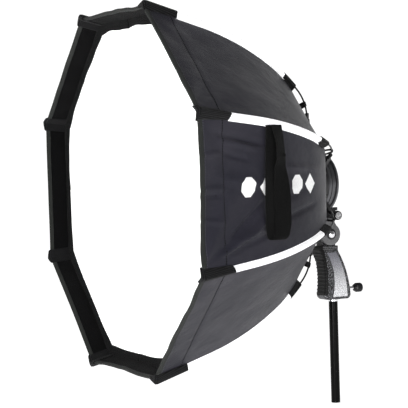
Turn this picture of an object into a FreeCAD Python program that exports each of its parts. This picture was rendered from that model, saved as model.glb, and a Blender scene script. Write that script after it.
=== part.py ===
import FreeCAD, Part
import math
import os
from FreeCAD import Placement, Rotation, Vector

# Studio softbox: an eight-rib umbrella-type octagon on a speedring, with a tilting hand grip
# that clamps on a 16 mm stand tube. Millimetres, +Z up, the softbox opening faces -Y.
# Origin: centre of the stand tube's lower end. Local sizes marked "deep" are measured
# from the front rim plane towards the back, and "radius" from the softbox axis.

doc = FreeCAD.newDocument("studio_softbox")
sheet = doc.addObject("Spreadsheet::Sheet", "sizes")

DRIVING_SIZES = {
    # Where the softbox stands over the tube.
    "rim_setback": 414, "axis_height": 390,
    # Ribs: a straight front stretch, a long shallow bow and a tight bow into the hub.
    "rib_count": 8, "rim_radius": 323, "rib_slope": 16.3, "rib_straight": 105.3,
    "bow_radius": 525, "bow_turn": 26.3, "shoulder_radius": 107.7, "shoulder_turn": 34,
    "rod_radius": 1.5, "rod_start": 4, "sleeve_radius": 3.6, "sleeve_bore": 1.9,
    "pocket_end": 64, "sleeve_end": 277, "hub_pocket_end": 303, "trim_gap": 0.4,
    # Cloth: one gore between two ribs, measured on its middle line.
    "gore_front": 294.2, "gore_slope": 15.2, "gore_straight": 105.4, "gore_bow": 558,
    "gore_bow_turn": 17, "gore_shoulder": 219.5, "gore_shoulder_turn": 44.7,
    "cloth": 1.4, "seam_gap": 0.4, "diffuser_deep": 32, "diffuser_radius": 305,
    "diffuser_cloth": 1.2,
    # Hub, its hinges and the speedring.
    "hinge_deep": 360, "hinge_radius": 64, "hub_end": 374,
    "hub_radius": 58, "flash_radius": 43, "hub_bore": 44, "ear_gap": 7.2, "ear_wall": 4,
    "ear_top": 69, "ear_front": 353, "ear_back": 367, "ear_root": 3,
    "pin_radius": 1.5, "pin_length": 15, "pin_gap": 0.02,
    "arm_width": 6.6, "arm_height": 6, "eye_radius": 4.6, "socket_radius": 3.4,
    "socket_deep": 10, "socket_overlap": 3,
    "plate_start": 348.6, "plate_radius": 66, "plate_cloth": 2.4,
    "screw_circle": 51, "screw_radius": 2.6, "screw_height": 2, "hex_radius": 1.4, "hex_deep": 1.2,
    "ring_start": 374, "ring_end": 401, "ring_radius": 50, "ring_waist": 45.5, "flange": 4.5,
    # Tilt head, bracket and accessory shoe.
    "tilt_deep": 403, "tilt_drop": 90, "cheek_radius": 19.5, "cheek_inner": 8.9,
    "cheek_wall": 7.6, "neck_top": 60.5, "neck_width": 17, "neck_start": 397,
    "tongue_radius": 18, "tongue_width": 17, "tongue_start": 390, "tongue_wall": 26,
    "tongue_root": 18, "stem_gap": 0.3,
    "upright_width": 26, "upright_wall": 21.5, "upright_height": 21, "upright_start": 380,
    "upright_drop": 60, "stem_wall": 15, "stem_height": 13, "stem_start": 393, "stem_drop": 70,
    "block_width": 16, "block_wall": 17.5, "block_height": 18, "block_start": 401.5,
    "block_drop": 66, "block_clear_start": 401.2,
    "bolt_radius": 4, "bolt_head": 7.5, "bolt_head_deep": 4.5, "bolt_tail": 6, "fit_gap": 0.05,
    "lever_hub": 9, "lever_length": 42, "lever_wall": 9, "lever_bar": 6, "lever_gap": 0.3,
    "lever_hole_deep": 6.5,
    "shoe_slot": 18.6, "shoe_wall": 1.6, "shoe_floor": 2, "shoe_rise": 3.6, "shoe_lip": 2,
    "shoe_lip_wall": 1.4, "shoe_top_drop": 46.6, "shoe_deep": 402.5,
    "knob_radius": 8.2, "knob_length": 11, "knob_deep": 412, "knob_drop": 57,
    "knob_reach": 17.2, "knob_shaft": 2.5, "knob_shaft_start": 0.5,
    # Grip and stand tube.
    "grip_half_width": 15.5, "grip_round": 4, "grip_long_edge": 50, "grip_top_drop": 110.5,
    "grip_bottom_drop": 206, "side_plate": 0.8, "bush_radius": 10.5, "bush_top_drop": 150,
    "bush_cap": 4, "tube_radius": 8, "tube_gap": 0.08, "tube_wall": 1.2, "tube_top_gap": 8,
    "collar_radius": 8.7, "collar_height": 3, "collar_gap": 0.5,
    "tube_mark": 60, "mark_height": 1, "mark_deep": 0.3,
    "lock_drop": 189, "lock_shaft": 3.2, "lock_tip_gap": 0.1,
    "lock_knob_start": 456, "lock_knob_length": 21, "lock_knob_radius": 8.2,
    # Strap that ties the folded softbox: its sewn end is above the softbox axis.
    "strap_width": 25, "strap_wall": 4, "strap_deep": 150, "strap_length": 172,
    "strap_rise": 80, "strap_gap": 2.5, "strap_lean": 18.2,
}
for row, (alias, value) in enumerate(DRIVING_SIZES.items(), start=1):
    sheet.set(f"A{row}", alias)
    sheet.set(f"B{row}", str(value))
    sheet.setAlias(f"B{row}", alias)
doc.recompute()

NODES = []
HALF_STEP = 22.5
ON_SOFTBOX = Vector(0, -sheet.rim_setback, sheet.axis_height)
# Cutting tools run this far through and past what they cut.
THROUGH = 60
PAST = 1


def size(alias):
    return float(getattr(sheet, alias))


def node(obj, name):
    """Names one finished sub-part."""
    obj.Label = name
    NODES.append(obj)
    return obj


def bind(obj, **expressions):
    """Ties an object's properties to cells of the sheet."""
    for prop, text in expressions.items():
        obj.setExpression(prop.replace("__", "."), text)
    return obj


def cylinder(name, radius, length, axis="Y", x="0", deep="0", up="0"):
    """A cylinder bound to the sheet; its base centre is given from the rim plane and the axis."""
    obj = doc.addObject("Part::Cylinder", name)
    turn = {"X": Rotation(Vector(0, 1, 0), 90), "Y": Rotation(Vector(1, 0, 0), -90), "Z": Rotation()}
    obj.Placement = Placement(Vector(), turn[axis])
    place(obj, x, deep, up)
    return bind(obj, Radius=radius, Height=length)


def box(name, lengths, x="0", deep="0", up="0"):
    """A box bound to the sheet, from its lowest corner."""
    obj = doc.addObject("Part::Box", name)
    place(obj, x, deep, up)
    return bind(obj, Length=lengths[0], Width=lengths[1], Height=lengths[2])


def place(obj, x, deep, up):
    """Puts a base point at a depth behind the rim plane and a height over the softbox axis."""
    bind(
        obj,
        Placement__Base__x=x,
        Placement__Base__y=f"{deep} - sizes.rim_setback",
        Placement__Base__z=f"{up} + sizes.axis_height",
    )


def cut(name, base, *tools):
    """The base with every tool taken away."""
    obj = doc.addObject("Part::Cut", name)
    obj.Base = base
    obj.Tool = tools[0] if len(tools) == 1 else fuse(name + "_tools", *tools)
    return obj


def fuse(name, *shapes):
    obj = doc.addObject("Part::MultiFuse", name)
    obj.Shapes = list(shapes)
    return obj


def feature(name, shape, placement=None):
    """A free shape, for what primitives and sketches can't describe."""
    obj = doc.addObject("Part::Feature", name)
    obj.Shape = shape
    if placement is not None:
        obj.Placement = placement
    return obj


def at_azimuth(degrees):
    """The placement that carries a shape built under the vertical radius to its own azimuth."""
    return Placement(ON_SOFTBOX, Rotation(Vector(0, 1, 0), degrees))


def bent_path(deep, radius, slope, straight, bends):
    """Edges of a line and tangent arcs that turn towards the axis, with the end and its heading."""
    heading = math.radians(slope)
    point = Vector(0, deep, radius)
    forward = Vector(0, math.cos(heading), -math.sin(heading))
    after = point + forward * straight
    edges = [Part.LineSegment(point, after).toShape()]
    point = after
    for bend, turn in bends:
        inward = Vector(0, -math.sin(heading), -math.cos(heading))
        centre = point + inward * bend

        def on_arc(angle):
            return centre + Vector(0, math.sin(angle), math.cos(angle)) * bend

        last = heading + math.radians(turn)
        middle = (heading + last) / 2
        edges.append(Part.Arc(point, on_arc(middle), on_arc(last)).toShape())
        point = on_arc(last)
        heading = last
    return edges, point, Vector(0, math.cos(heading), -math.sin(heading))


def rib_path(lift=0.0, start=0.0):
    """The rib's middle line, or a line that keeps a distance outside it."""
    heading = math.radians(size("rib_slope"))
    deep = start + lift * math.sin(heading)
    radius = size("rim_radius") - start * math.tan(heading) + lift * math.cos(heading)
    straight = size("rib_straight") - start / math.cos(heading)
    bends = [
        (size("bow_radius") + lift, size("bow_turn")),
        (size("shoulder_radius") + lift, size("shoulder_turn")),
    ]
    return bent_path(deep, radius, size("rib_slope"), straight, bends)


def pipe(edges, radius):
    """A round bar that follows edges lying in the radial plane."""
    first = edges[0]
    start = first.Vertexes[0].Point
    along = first.Vertexes[-1].Point - start
    ring = Part.Wire([Part.Circle(start, along, radius).toShape()])
    return Part.Wire(edges).makePipeShell([ring], True, False)


def slab(front, back):
    """All space between two depths behind the rim plane, on one side of the axis."""
    reach = 2 * size("rim_radius")
    return Part.makeBox(reach, back - front, reach, Vector(-reach / 2, front, 1))


# ---------------------------------------------------------------- ribs
# A spring-steel rod, bowed as it is when the cloth holds it, in a moulded arm that turns
# in the hub. Webbing pockets take both ends and a sewn sleeve covers the rest.

rib_edges, rib_end, rib_heading = rib_path(start=size("rod_start"))
rod_shape = pipe(rib_edges, size("rod_radius"))

hinge = Vector(0, size("hinge_deep"), size("hinge_radius"))
half_arm = size("arm_width") / 2
socket_foot = rib_end - rib_heading * size("socket_deep")
arm_line = hinge - rib_end
arm_tilt = math.degrees(math.atan2(arm_line.y, -arm_line.z))
bar = Part.makeBox(
    size("arm_width"), size("arm_height"), arm_line.Length,
    Vector(-half_arm, -size("arm_height") / 2, 0),
)
bar.Placement = Placement(rib_end, Rotation(Vector(1, 0, 0), 180 + arm_tilt))
socket = Part.makeCylinder(
    size("socket_radius"), size("socket_deep") + size("socket_overlap"), socket_foot, rib_heading
)
eye = Part.makeCylinder(
    size("eye_radius"), size("arm_width"), hinge - Vector(half_arm, 0, 0), Vector(1, 0, 0)
)
rod_hole = Part.makeCylinder(
    size("rod_radius") + size("fit_gap"), size("socket_deep") + PAST,
    socket_foot - rib_heading * PAST, rib_heading,
)
pin_hole = Part.makeCylinder(
    size("pin_radius") + size("fit_gap"), size("arm_width") + 2 * PAST,
    hinge - Vector(half_arm + PAST, 0, 0), Vector(1, 0, 0),
)
arm_shape = bar.fuse([socket, eye]).cut(rod_hole).cut(pin_hole).removeSplitter()
arm_shape = arm_shape.cut(pipe(rib_edges, size("rod_radius") + size("fit_gap")))

whole_edges = rib_path()[0]
sleeve = pipe(whole_edges, size("sleeve_radius")).cut(pipe(whole_edges, size("sleeve_bore")))
trim_ends = [
    (0, size("pocket_end")),
    (size("pocket_end") + size("trim_gap"), size("sleeve_end")),
    (size("sleeve_end") + size("trim_gap"), size("hub_pocket_end")),
]
trim_shape = Part.makeCompound([sleeve.common(slab(a, b)).Solids[0] for a, b in trim_ends])

# ---------------------------------------------------------------- cloth
# One gore of black cloth between two ribs: it hangs straight from rib to rib and follows
# the bow from the front rim to the hub.


def gore_edges(lift):
    """The gore's middle line, or a line that keeps a distance outside it."""
    heading = math.radians(size("gore_slope"))
    return bent_path(
        0, size("gore_front") + lift / math.cos(heading),
        size("gore_slope"), size("gore_straight") - lift * math.tan(heading),
        [
            (size("gore_bow") + lift, size("gore_bow_turn")),
            (size("gore_shoulder") + lift, size("gore_shoulder_turn")),
        ],
    )


outer_edges, outer_end = gore_edges(0)[:2]
inner_edges, inner_end = gore_edges(-size("cloth"))[:2]
front_close = Part.LineSegment(
    outer_edges[0].Vertexes[0].Point, inner_edges[0].Vertexes[0].Point
).toShape()
back_close = Part.LineSegment(outer_end, inner_end).toShape()
gore_outline = Part.Wire(
    Part.__sortEdges__(outer_edges + [back_close] + inner_edges + [front_close])
)
half = math.radians(HALF_STEP)
half_span = size("rim_radius") * math.tan(half)
gore_band = Part.Face(gore_outline)
gore_band.translate(Vector(-half_span, 0, 0))
gore_band = gore_band.extrude(Vector(2 * half_span, 0, 0))
wedge_reach = 2 * size("rim_radius")
wedge_foot = size("seam_gap") / 2 / math.sin(half)
wedge_side = (wedge_reach - wedge_foot) * math.tan(half)
wedge_corners = [
    Vector(0, -PAST, wedge_foot),
    Vector(wedge_side, -PAST, wedge_reach),
    Vector(-wedge_side, -PAST, wedge_reach),
]
wedge = Part.Face(Part.makePolygon(wedge_corners + wedge_corners[:1]))
wedge = wedge.extrude(Vector(0, wedge_reach, 0))
gore_shape = gore_band.common(wedge).Solids[0]

# One sector of the front diffuser: a kite round its rib's corner, from the lip to the axis.
diffuser_deep = size("diffuser_deep")
mid_reach = size("diffuser_radius") * math.cos(half)
kite_gap = size("seam_gap") / 2
kite_side = mid_reach * math.sin(half) - kite_gap
kite = [
    Vector(0, diffuser_deep, kite_gap / math.sin(half)),
    Vector(kite_side, diffuser_deep, mid_reach * math.cos(half)),
    Vector(0, diffuser_deep, size("diffuser_radius")),
    Vector(-kite_side, diffuser_deep, mid_reach * math.cos(half)),
]
diffuser_shape = Part.Face(Part.makePolygon(kite + kite[:1])).extrude(
    Vector(0, size("diffuser_cloth"), 0)
)

for rib in range(int(size("rib_count"))):
    number = rib + 1
    azimuth = HALF_STEP + rib * 2 * HALF_STEP
    node(feature(f"rod_{number}", rod_shape, at_azimuth(azimuth)), f"rib_rod_{number}")
    node(feature(f"arm_{number}", arm_shape, at_azimuth(azimuth)), f"rib_arm_{number}")
    node(feature(f"trim_{number}", trim_shape, at_azimuth(azimuth)), f"rib_sleeve_{number}")
    node(feature(f"gore_{number}", gore_shape, at_azimuth(azimuth + HALF_STEP)), f"gore_{number}")
    node(
        feature(f"sector_{number}", diffuser_shape, at_azimuth(azimuth)),
        f"diffuser_sector_{number}",
    )

# The tie strap hangs from the seam of the second rib, flat against the cloth below it.
strap_drop = math.tan(math.radians(size("gore_slope"))) * size("strap_deep")
strap_top = Vector(
    size("gore_front") - strap_drop + size("strap_gap"), size("strap_deep"), size("strap_rise")
)
strap_shape = Part.makeBox(
    size("strap_wall"), size("strap_width"), size("strap_length"),
    Vector(0, 0, -size("strap_length")),
)
strap_place = Placement(ON_SOFTBOX + strap_top, Rotation(Vector(0, 0, 1), size("strap_lean")))
node(feature("strap", strap_shape, strap_place), "tie_strap")

# ---------------------------------------------------------------- hub
# A moulded drum with eight pairs of ears, an inner plate that nips the cloth, and the pins.

drum_start = "sizes.plate_start + sizes.plate_cloth"
drum_length = f"sizes.hub_end - ({drum_start})"
drum = cut(
    "drum",
    cylinder("drum_wall", "sizes.hub_radius", drum_length, deep=drum_start),
    cylinder(
        "drum_bore", "sizes.hub_bore", f"{drum_length} + {2 * PAST}", deep=f"{drum_start} - {PAST}"
    ),
)
doc.recompute()
drum_shape = drum.Shape.copy()
ear_foot = size("hub_radius") - size("ear_root")
ear_outside = size("ear_gap") / 2 + size("ear_wall")
ear = Part.makeBox(
    size("ear_wall"), size("ear_back") - size("ear_front"), size("ear_top") - ear_foot,
    Vector(size("ear_gap") / 2, size("ear_front"), ear_foot),
)
ear_hole = Part.makeCylinder(
    size("pin_radius") + size("pin_gap"), 2 * (ear_outside + PAST),
    hinge - Vector(ear_outside + PAST, 0, 0), Vector(1, 0, 0),
)
ear_pair = ear.fuse(ear.mirror(Vector(), Vector(1, 0, 0))).cut(ear_hole)
pin = Part.makeCylinder(
    size("pin_radius"), size("pin_length"), hinge - Vector(size("pin_length") / 2, 0, 0),
    Vector(1, 0, 0),
)
ears = []
pins = []
for rib in range(int(size("rib_count"))):
    turned = at_azimuth(HALF_STEP + rib * 2 * HALF_STEP)
    ears.append(ear_pair.transformed(turned.toMatrix()))
    pins.append(pin.transformed(turned.toMatrix()))
node(feature("housing", drum_shape.fuse(ears).removeSplitter()), "hub_housing")
node(feature("pins", Part.makeCompound(pins)), "hinge_pins")

plate_prism = doc.addObject("Part::Prism", "plate_prism")
plate_prism.Polygon = int(size("rib_count"))
plate_prism.Placement = Placement(
    Vector(), Rotation(Vector(0, 1, 0), HALF_STEP) * Rotation(Vector(1, 0, 0), -90)
)
place(plate_prism, "0", "sizes.plate_start", "0")
bind(plate_prism, Circumradius="sizes.plate_radius", Height="sizes.plate_cloth")
plate_bore = cylinder(
    "plate_bore", "sizes.hub_bore", f"sizes.plate_cloth + {2 * PAST}",
    deep=f"sizes.plate_start - {PAST}",
)
node(cut("plate", plate_prism, plate_bore), "hub_inner_plate")

screw_top = Vector(0, size("plate_start") - size("screw_height"), size("screw_circle"))
screw = Part.makeCylinder(size("screw_radius"), size("screw_height"), screw_top, Vector(0, 1, 0))
screw = screw.cut(
    Part.makeCylinder(size("hex_radius"), size("hex_deep"), screw_top, Vector(0, 1, 0))
)
screws = [
    screw.transformed(at_azimuth(index * 2 * HALF_STEP).toMatrix())
    for index in range(int(size("rib_count")))
]
node(feature("screws", Part.makeCompound(screws)), "hub_screws")

# The speedring: a turned ring with a flange at each face, revolved from its section.
ring_body = doc.addObject("PartDesign::Body", "ring_body")
section = ring_body.newObject("Sketcher::SketchObject", "ring_section")
origin_planes = {f.Role: f for f in ring_body.Origin.OriginFeatures}
section.AttachmentSupport = (origin_planes["YZ_Plane"], [""])
section.MapMode = "FlatFace"
corners = [
    ("ring_start", "flash_radius", 0), ("ring_start", "ring_radius", 0),
    ("ring_start", "ring_radius", 1), ("ring_start", "ring_waist", 1),
    ("ring_end", "ring_waist", -1), ("ring_end", "ring_radius", -1),
    ("ring_end", "ring_radius", 0), ("ring_end", "flash_radius", 0),
]
ring_points = [
    Vector(size(deep) + step * size("flange"), size(radius), 0) for deep, radius, step in corners
]
for index, point in enumerate(ring_points):
    section.addGeometry(Part.LineSegment(point, ring_points[(index + 1) % len(ring_points)]))
turned_ring = ring_body.newObject("PartDesign::Revolution", "turned_ring")
turned_ring.Profile = section
turned_ring.ReferenceAxis = (section, ["H_Axis"])
turned_ring.Angle = 360
ring_body.Placement = Placement(ON_SOFTBOX, Rotation())
node(ring_body, "speedring")

# ---------------------------------------------------------------- bracket and tilt head
# A cast upright carries the ring; its stem is held between two cheeks that tilt on the grip.

upright_block = box(
    "upright_block", ("sizes.upright_width", "sizes.upright_wall", "sizes.upright_height"),
    "-sizes.upright_width / 2", "sizes.upright_start", "-sizes.upright_drop",
)
stem_half = "(sizes.cheek_inner - sizes.stem_gap)"
stem = box(
    "stem", (f"2 * {stem_half}", "sizes.stem_wall", "sizes.stem_height"),
    f"-{stem_half}", "sizes.stem_start", "-sizes.stem_drop",
)
shoe_block = box(
    "shoe_block", ("sizes.block_width", "sizes.block_wall", "sizes.block_height"),
    "-sizes.block_width / 2", "sizes.block_start", "-sizes.block_drop",
)
upright = cut(
    "upright", fuse("upright_solid", upright_block, stem, shoe_block),
    cylinder(
        "ring_seat", "sizes.ring_radius + sizes.fit_gap",
        f"sizes.ring_end - sizes.upright_start + {2 * PAST}", deep=f"sizes.upright_start - {PAST}",
    ),
    cylinder(
        "shoe_screw_hole", "sizes.knob_shaft + sizes.fit_gap", f"{THROUGH}", "X",
        "sizes.knob_shaft_start", "sizes.knob_deep", "-sizes.knob_drop",
    ),
    box(
        "shoe_clearance", (f"{THROUGH}", f"{THROUGH}", f"{THROUGH}"),
        f"-{THROUGH / 2}", "sizes.block_clear_start", "-sizes.shoe_top_drop - sizes.shoe_floor",
    ),
)
node(upright, "bracket_upright")

shoe_half = "sizes.shoe_slot / 2"
shoe_up = "-sizes.shoe_top_drop"
shoe_floor = box(
    "shoe_base", ("sizes.shoe_slot + 2 * sizes.shoe_wall", "sizes.shoe_slot", "sizes.shoe_floor"),
    f"-{shoe_half} - sizes.shoe_wall", "sizes.shoe_deep", f"{shoe_up} - sizes.shoe_floor",
)
shoe_pieces = [shoe_floor]
for side, wall_x, lip_x in (
    ("left", f"-{shoe_half} - sizes.shoe_wall", f"-{shoe_half} - sizes.shoe_wall"),
    ("right", shoe_half, f"{shoe_half} - sizes.shoe_lip"),
):
    shoe_pieces.append(box(
        f"shoe_{side}_wall", ("sizes.shoe_wall", "sizes.shoe_slot", "sizes.shoe_rise"),
        wall_x, "sizes.shoe_deep", shoe_up,
    ))
    shoe_pieces.append(box(
        f"shoe_{side}_lip",
        ("sizes.shoe_lip + sizes.shoe_wall", "sizes.shoe_slot", "sizes.shoe_lip_wall"),
        lip_x, "sizes.shoe_deep", f"{shoe_up} + sizes.shoe_rise - sizes.shoe_lip_wall",
    ))
node(fuse("shoe", *shoe_pieces), "accessory_shoe")

knob_at = ("sizes.knob_deep", "-sizes.knob_drop")
shoe_knob = fuse(
    "shoe_knob_solid",
    cylinder(
        "shoe_knob_grip", "sizes.knob_radius", "sizes.knob_length", "X", "sizes.knob_reach", *knob_at
    ),
    cylinder(
        "shoe_knob_shaft", "sizes.knob_shaft", "sizes.knob_reach", "X", "sizes.knob_shaft_start",
        *knob_at,
    ),
)
node(shoe_knob, "shoe_clamp_knob")

tilt_at = ("sizes.tilt_deep", "-sizes.tilt_drop")
cheek_outside = "(sizes.cheek_inner + sizes.cheek_wall)"
cheeks = []
for side, cheek_x in (("right", "sizes.cheek_inner"), ("left", f"-{cheek_outside}")):
    cheeks.append(cylinder(
        f"{side}_cheek", "sizes.cheek_radius", "sizes.cheek_wall", "X", cheek_x, *tilt_at
    ))
    cheeks.append(box(
        f"{side}_neck",
        ("sizes.cheek_wall", "sizes.neck_width", "sizes.tilt_drop - sizes.neck_top"),
        cheek_x, "sizes.neck_start", "-sizes.tilt_drop",
    ))


def tilt_hole(name):
    """The hole for the tilt bolt, right through."""
    return cylinder(
        name, "sizes.bolt_radius + sizes.fit_gap", f"{THROUGH}", "X", f"-{THROUGH / 2}", *tilt_at
    )


node(cut("tilt_head_solid", fuse("cheeks", *cheeks), tilt_hole("cheek_hole")), "tilt_cheeks")

bolt = fuse(
    "bolt_solid",
    cylinder(
        "bolt_shaft", "sizes.bolt_radius", f"2 * {cheek_outside} + sizes.bolt_tail", "X",
        f"-{cheek_outside} - sizes.bolt_tail", *tilt_at,
    ),
    cylinder("bolt_cap", "sizes.bolt_head", "sizes.bolt_head_deep", "X", cheek_outside, *tilt_at),
)
node(bolt, "tilt_bolt")

lever_x = f"-{cheek_outside} - sizes.lever_wall - sizes.lever_gap"
lever = cut(
    "lever_solid",
    fuse(
        "lever_shape",
        cylinder("lever_boss", "sizes.lever_hub", "sizes.lever_wall", "X", lever_x, *tilt_at),
        box(
            "lever_bar", ("sizes.lever_bar", "sizes.lever_hub", "sizes.lever_length"), lever_x,
            "sizes.tilt_deep - sizes.lever_hub / 2", "-sizes.tilt_drop - sizes.lever_length",
        ),
    ),
    cylinder(
        "lever_hole", "sizes.bolt_radius + sizes.fit_gap", f"sizes.lever_hole_deep + {PAST}", "X",
        f"-{cheek_outside} - sizes.lever_hole_deep", *tilt_at,
    ),
)
node(lever, "tilt_lever")

# ---------------------------------------------------------------- grip
# A moulded pistol grip: the core is padded from its side outline, a ribbed rubber front
# and two side plates are let into it, and a bush inside it takes the stand tube.

grip_body = doc.addObject("PartDesign::Body", "grip_body")
grip_sketch = grip_body.newObject("Sketcher::SketchObject", "grip_outline")
grip_planes = {f.Role: f for f in grip_body.Origin.OriginFeatures}
grip_sketch.AttachmentSupport = (grip_planes["YZ_Plane"], [""])
grip_sketch.MapMode = "FlatFace"
top = -size("grip_top_drop")
foot = -size("grip_bottom_drop")
front = [Vector(381, top, 0), Vector(379, top - 4, 0), Vector(386, top - 20, 0),
         Vector(390.5, top - 50, 0), Vector(388, foot + 9, 0)]
back = [Vector(435, foot, 0), Vector(443, foot + 8, 0), Vector(436, top - 48, 0),
        Vector(417, top - 6, 0), Vector(417, top, 0)]
outline = [
    Part.LineSegment(front[0], front[1]),
    Part.LineSegment(front[1], front[2]),
    Part.Arc(front[2], front[3], front[4]),
    Part.Arc(front[4], Vector(391, foot + 2.5, 0), Vector(397, foot, 0)),
    Part.LineSegment(Vector(397, foot, 0), back[0]),
    Part.Arc(back[0], Vector(440.7, foot + 2.3, 0), back[1]),
    Part.Arc(back[1], back[2], back[3]),
    Part.LineSegment(back[3], back[4]),
    Part.LineSegment(back[4], front[0]),
]
for piece in outline:
    grip_sketch.addGeometry(piece)
grip_pad = grip_body.newObject("PartDesign::Pad", "grip_pad")
grip_pad.Profile = grip_sketch
grip_pad.Midplane = True
bind(grip_pad, Length="2 * sizes.grip_half_width")
doc.recompute()
long_edges = []
for index, edge in enumerate(grip_pad.Shape.Edges, start=1):
    middle = edge.CenterOfMass
    on_side = abs(abs(middle.x) - size("grip_half_width")) < 0.01
    if on_side and edge.Length > size("grip_long_edge"):
        long_edges.append(f"Edge{index}")
grip_round = grip_body.newObject("PartDesign::Fillet", "grip_round")
grip_round.Base = (grip_pad, long_edges)
bind(grip_round, Radius="sizes.grip_round")
grip_body.Placement = Placement(ON_SOFTBOX, Rotation())
doc.recompute()

tongue_half = "sizes.tongue_width / 2"
tongue = cut(
    "tongue",
    fuse(
        "tongue_solid",
        box(
            "tongue_neck", ("sizes.tongue_width", "sizes.tongue_wall", "sizes.tongue_root"),
            f"-{tongue_half}", "sizes.tongue_start", f"-sizes.grip_top_drop - {PAST}",
        ),
        cylinder(
            "tongue_disc", "sizes.tongue_radius", "sizes.tongue_width", "X", f"-{tongue_half}",
            *tilt_at,
        ),
    ),
    tilt_hole("tongue_hole"),
    box(
        "tongue_trim", (f"{THROUGH}", f"{THROUGH}", f"{THROUGH}"),
        f"-{THROUGH / 2}", f"sizes.tilt_deep - {THROUGH / 2}",
        f"-sizes.grip_top_drop - {PAST} - {THROUGH}",
    ),
)

rubber_outline = [
    Part.LineSegment(Vector(0, 370, top + 2), Vector(0, 386, top + 2)),
    Part.LineSegment(Vector(0, 386, top + 2), Vector(0, 391, top - 20)),
    Part.Arc(Vector(0, 391, top - 20), Vector(0, 395.5, top - 50), Vector(0, 393, foot + 9)),
    Part.LineSegment(Vector(0, 393, foot + 9), Vector(0, 370, foot + 6)),
    Part.LineSegment(Vector(0, 370, foot + 6), Vector(0, 370, top + 2)),
]
rubber_face = Part.Face(Part.Wire([line.toShape() for line in rubber_outline]))
rubber_face.translate(Vector(-THROUGH / 2, 0, 0))
rubber_zone = rubber_face.extrude(Vector(THROUGH, 0, 0)).translated(ON_SOFTBOX)
grip_whole = grip_body.Shape
node(feature("rubber", grip_whole.common(rubber_zone)), "grip_front_rubber")
grip_rest = feature("grip_rest", grip_whole.cut(rubber_zone))
bush_length = "(sizes.grip_bottom_drop - sizes.bush_top_drop)"
grip_core = cut(
    "core", fuse("core_solid", grip_rest, tongue),
    cylinder(
        "bush_hole", "sizes.bush_radius", f"{bush_length} + {PAST}", "Z", "0",
        "sizes.rim_setback", f"-sizes.grip_bottom_drop - {PAST}",
    ),
    cylinder(
        "lock_hole", "sizes.lock_shaft + sizes.fit_gap", f"{THROUGH}", "Y", "0",
        "sizes.rim_setback + sizes.tube_radius", "-sizes.lock_drop",
    ),
)
node(grip_core, "grip_core")

side_outline = [
    Part.LineSegment(Vector(0, 393.5, top - 12), Vector(0, 413, top - 12)),
    Part.Arc(Vector(0, 413, top - 12), Vector(0, 429, top - 50), Vector(0, 434, foot + 5)),
    Part.LineSegment(Vector(0, 434, foot + 5), Vector(0, 404, foot + 5)),
    Part.Arc(Vector(0, 404, foot + 5), Vector(0, 408, foot + 40), Vector(0, 393.5, top - 12)),
]
side_face = Part.Face(Part.Wire([line.toShape() for line in side_outline]))
side_face.translate(Vector(size("grip_half_width"), 0, 0))
side_plate = side_face.extrude(Vector(size("side_plate"), 0, 0))
side_plates = Part.makeCompound([side_plate, side_plate.mirror(Vector(), Vector(1, 0, 0))])
node(feature("plates", side_plates, Placement(ON_SOFTBOX, Rotation())), "grip_side_plates")

bush = cut(
    "bush_solid",
    cylinder(
        "bush_wall", "sizes.bush_radius", bush_length, "Z", "0", "sizes.rim_setback",
        "-sizes.grip_bottom_drop",
    ),
    cylinder(
        "bush_bore", "sizes.tube_radius + sizes.tube_gap",
        f"{bush_length} - sizes.bush_cap + {PAST}", "Z", "0", "sizes.rim_setback",
        f"-sizes.grip_bottom_drop - {PAST}",
    ),
    cylinder(
        "bush_screw_hole", "sizes.lock_shaft + sizes.fit_gap", f"{THROUGH}", "Y", "0",
        "sizes.rim_setback", "-sizes.lock_drop",
    ),
)
node(bush, "stand_bush")

lock_tip = "(sizes.rim_setback + sizes.tube_radius + sizes.lock_tip_gap)"
lock_screw = cylinder(
    "lock_screw", "sizes.lock_shaft", f"sizes.lock_knob_start - {lock_tip}", "Y", "0",
    lock_tip, "-sizes.lock_drop",
)
node(lock_screw, "stand_lock_screw")
lock_knob = cylinder(
    "lock_knob", "sizes.lock_knob_radius", "sizes.lock_knob_length", "Y", "0",
    "sizes.lock_knob_start", "-sizes.lock_drop",
)
node(lock_knob, "stand_lock_knob")

# ---------------------------------------------------------------- stand tube
# The top tube of the stand, bored through, with a ring groove that marks its plug-in depth.

def upright_cylinder(name, radius, length, height):
    """A cylinder round the tube's own line, from a height over its lower end."""
    return cylinder(
        name, radius, length, "Z", "0", "sizes.rim_setback", f"{height} - sizes.axis_height"
    )


tube_length = "(sizes.axis_height - sizes.bush_top_drop - sizes.tube_top_gap)"
tube_mark = cut(
    "tube_mark_groove",
    upright_cylinder(
        "mark_outer", f"sizes.tube_radius + {PAST}", "sizes.mark_height", "sizes.tube_mark"
    ),
    upright_cylinder(
        "mark_inner", "sizes.tube_radius - sizes.mark_deep", f"sizes.mark_height + {2 * PAST}",
        f"sizes.tube_mark - {PAST}",
    ),
)
tube = cut(
    "tube",
    upright_cylinder("tube_wall", "sizes.tube_radius", tube_length, "0"),
    upright_cylinder(
        "tube_bore", "sizes.tube_radius - sizes.tube_wall", f"{tube_length} + {2 * PAST}", f"-{PAST}"
    ),
    tube_mark,
)
node(tube, "stand_tube")

collar_foot = (
    "sizes.axis_height - sizes.grip_bottom_drop - sizes.collar_height - sizes.collar_gap"
)
collar = cut(
    "collar",
    upright_cylinder("collar_wall", "sizes.collar_radius", "sizes.collar_height", collar_foot),
    upright_cylinder(
        "collar_bore", "sizes.tube_radius", f"sizes.collar_height + {2 * PAST}",
        f"{collar_foot} - {PAST}",
    ),
)
node(collar, "tube_collar")

# ---------------------------------------------------------------- check and write

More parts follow.
